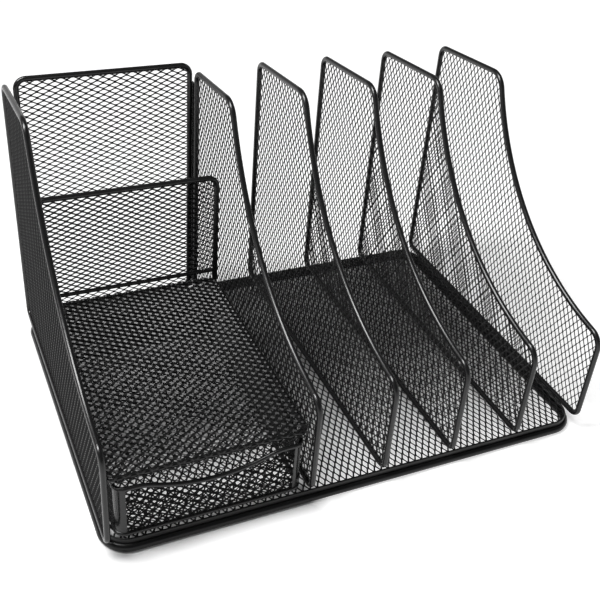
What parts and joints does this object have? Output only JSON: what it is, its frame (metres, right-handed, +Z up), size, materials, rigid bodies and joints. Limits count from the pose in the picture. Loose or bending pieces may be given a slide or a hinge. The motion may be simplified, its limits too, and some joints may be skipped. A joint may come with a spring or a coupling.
{
  "type": "mesh desk organizer with drawer",
  "caption": "Wire-rimmed mesh desk organizer: upright swept dividers with file slots on a mesh base, beside a bay with a letter slot, a shelf tray and a sliding drawer under it.",
  "frame": {"origin": "under the middle of the base, on the table", "axes": "+X to the right seen from the front, +Y to the rear, +Z up"},
  "size_m": [0.356, 0.256, 0.212],
  "materials": {
    "base_coat": "satin black powder coat on heavy wire",
    "wire_coat": "satin black powder coat on wire",
    "mesh_coat": "satin black powder coat on expanded mesh"
  },
  "bodies": {
    "frame": {"base_ring": "base_coat", "base_floor": "mesh_coat", "left_panel_rim": "wire_coat", "divider_1_rim": "wire_coat", "divider_2_rim": "wire_coat", "divider_3_rim": "wire_coat", "divider_4_rim": "wire_coat", "divider_5_rim": "wire_coat", "left_panel_mesh": "mesh_coat", "divider_1_mesh": "mesh_coat", "divider_2_mesh": "mesh_coat", "divider_3_mesh": "mesh_coat", "divider_4_mesh": "mesh_coat", "divider_5_mesh": "mesh_coat", "rear_panel_rim": "wire_coat", "rear_panel_mesh": "mesh_coat", "rear_corner_strip": "wire_coat", "slot_wall_rim": "wire_coat", "slot_wall_foot_wire": "wire_coat", "slot_wall_mesh": "mesh_coat", "shelf_rim": "wire_coat", "shelf_mesh": "mesh_coat"},
    "drawer": {"drawer_rim": "wire_coat", "drawer_front": "mesh_coat", "drawer_back": "mesh_coat", "drawer_side_left": "mesh_coat", "drawer_side_right": "mesh_coat", "drawer_corner_strips": "wire_coat", "drawer_floor": "mesh_coat", "drawer_bottom_ring": "wire_coat"}
  },
  "joints": [
    {"name": "drawer_slide", "type": "slide", "parent": "frame", "child": "drawer", "axis": [0, -1, 0], "range_m": [0, 0.12]}
  ]
}
